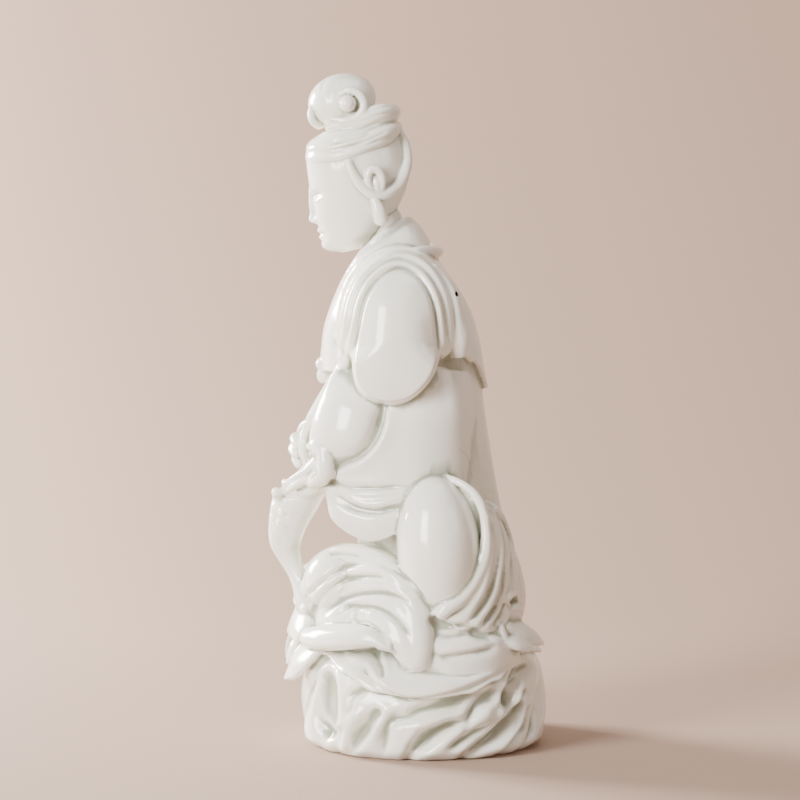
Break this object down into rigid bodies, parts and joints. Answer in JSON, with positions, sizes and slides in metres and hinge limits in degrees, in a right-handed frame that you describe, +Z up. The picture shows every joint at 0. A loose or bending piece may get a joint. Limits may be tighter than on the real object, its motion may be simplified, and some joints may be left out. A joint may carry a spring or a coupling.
{
  "type": "seated guanyin figure",
  "caption": "Seated guanyin figure in white glazed porcelain, one knee raised, robe and cape in flowing folds, moulded in one with its rockwork plinth.",
  "frame": {"origin": "middle of the plinth's flat underside", "axes": "+Z up, the figure faces -Y, its left side (the raised knee) is towards +X"},
  "size_m": [0.1787, 0.169, 0.3966],
  "materials": {
    "white_porcelain": "clear gloss glaze"
  },
  "bodies": {
    "root": {"guanyin_on_rock": "white_porcelain"}
  },
  "joints": []
}
